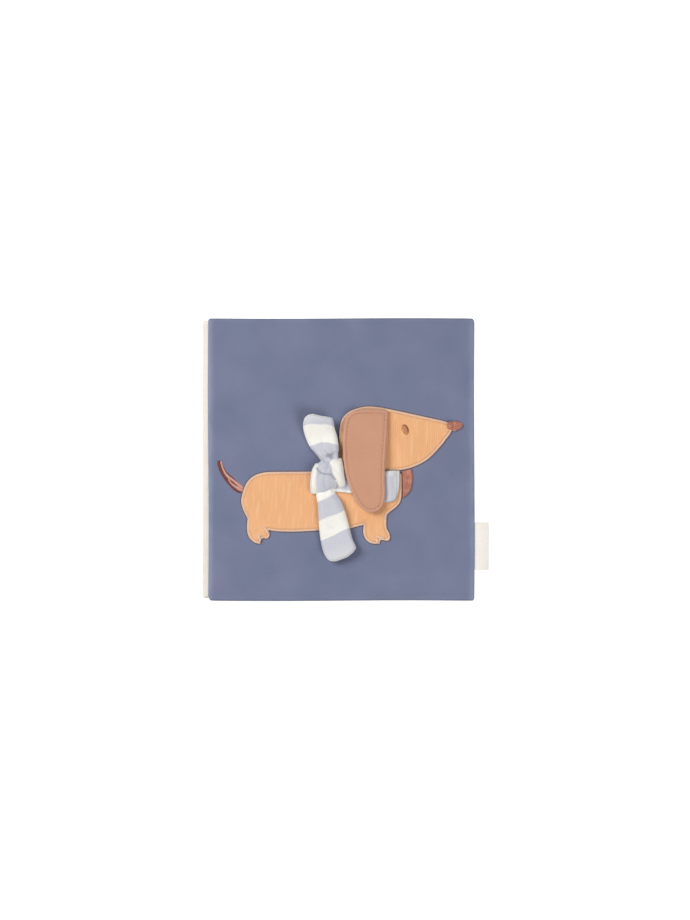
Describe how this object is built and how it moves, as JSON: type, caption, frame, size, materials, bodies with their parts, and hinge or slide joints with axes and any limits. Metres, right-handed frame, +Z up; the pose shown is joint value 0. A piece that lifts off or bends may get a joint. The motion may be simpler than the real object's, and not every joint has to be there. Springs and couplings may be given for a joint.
{
  "type": "crinkle book",
  "caption": "Soft cloth crinkle book with padded leaves on a round cloth spine, an applique dog with a loose ear and a tied scarf on its cover, and a ribbon side label.",
  "frame": {"origin": "middle of the flat underside of the back cover, with the book lying shut", "axes": "+Z up out of the front cover, +Y towards the top of the cover's picture, +X away from the spine"},
  "size_m": [0.184, 0.1812, 0.0271],
  "materials": {
    "cover_cotton": "matt plain-weave cotton, blue-grey",
    "page_cotton": "matt plain-weave cotton, cream",
    "spine_cotton": "matt plain-weave cotton, cream",
    "wadding": "soft polyester wadding",
    "crinkle_film": "thin crackling film",
    "corduroy": "fine-wale corduroy, orange-tan",
    "satin_stitch": "dense satin stitch, cream-peach",
    "ear_cloth": "smooth brushed cloth, dusty brown",
    "rust_thread": "embroidery thread, rust",
    "eye_thread": "embroidery thread, brown",
    "scarf_cloth": "soft muslin striped pale grey-blue and cream",
    "label_satin": "woven satin ribbon, off-white"
  },
  "bodies": {
    "back_cover": {"back_cover_upper_panel": "page_cotton", "back_cover_lower_panel": "cover_cotton", "back_cover_crinkle_film": "crinkle_film", "back_cover_wadding": "wadding", "back_cover_hinge_margin": "spine_cotton", "spine_binding": "spine_cotton", "spine_core": "wadding"},
    "second_leaf": {"second_leaf_upper_panel": "page_cotton", "second_leaf_lower_panel": "page_cotton", "second_leaf_crinkle_film": "crinkle_film", "second_leaf_wadding": "wadding", "second_leaf_hinge_margin": "spine_cotton"},
    "first_leaf": {"first_leaf_upper_panel": "page_cotton", "first_leaf_lower_panel": "page_cotton", "first_leaf_crinkle_film": "crinkle_film", "first_leaf_wadding": "wadding", "first_leaf_hinge_margin": "spine_cotton"},
    "front_cover": {"front_cover_upper_panel": "cover_cotton", "front_cover_lower_panel": "page_cotton", "front_cover_crinkle_film": "crinkle_film", "front_cover_wadding": "wadding", "front_cover_hinge_margin": "spine_cotton", "dog_body": "corduroy", "dog_body_border": "satin_stitch", "dog_head": "corduroy", "dog_head_border": "satin_stitch", "nose": "rust_thread", "eye": "eye_thread", "far_ear": "rust_thread", "tail": "rust_thread", "scarf_band": "scarf_cloth", "scarf_knot": "scarf_cloth"},
    "ear": {"ear_flap": "ear_cloth", "ear_lining": "page_cotton"},
    "upper_scarf_end": {"scarf_upper_end": "scarf_cloth"},
    "lower_scarf_end": {"scarf_lower_end": "scarf_cloth"},
    "label": {"side_label": "label_satin"}
  },
  "joints": [
    {"name": "second_leaf_turn", "type": "hinge", "parent": "back_cover", "child": "second_leaf", "pos_m": [-0.086, 0, 0.009], "axis": [0, -1, 0], "range_deg": [0, 180]},
    {"name": "first_leaf_turn", "type": "hinge", "parent": "second_leaf", "child": "first_leaf", "pos_m": [-0.086, 0, 0.009], "axis": [0, -1, 0], "range_deg": [0, 180]},
    {"name": "front_cover_turn", "type": "hinge", "parent": "first_leaf", "child": "front_cover", "pos_m": [-0.086, 0, 0.009], "axis": [0, -1, 0], "range_deg": [0, 180]},
    {"name": "ear_lift", "type": "hinge", "parent": "front_cover", "child": "ear", "pos_m": [0.01545, 0.0314, 0.02055], "axis": [-1, 0, 0], "range_deg": [0, 150]},
    {"name": "scarf_upper_end_lift", "type": "hinge", "parent": "front_cover", "child": "upper_scarf_end", "pos_m": [-0.01221, -0.001, 0.0211], "axis": [0.9613, 0.2756, 0], "range_deg": [0, 90]},
    {"name": "scarf_lower_end_lift", "type": "hinge", "parent": "front_cover", "child": "lower_scarf_end", "pos_m": [-0.00659, -0.0206, 0.0211], "axis": [-0.9613, -0.2756, 0], "range_deg": [0, 90]},
    {"name": "side_label_flick", "type": "hinge", "parent": "front_cover", "child": "label", "pos_m": [0.08622, -0.0555, 0.0159], "axis": [0, 1, 0], "range_deg": [-75, 75], "stiffness_Nm_per_rad": 0.00015}
  ]
}
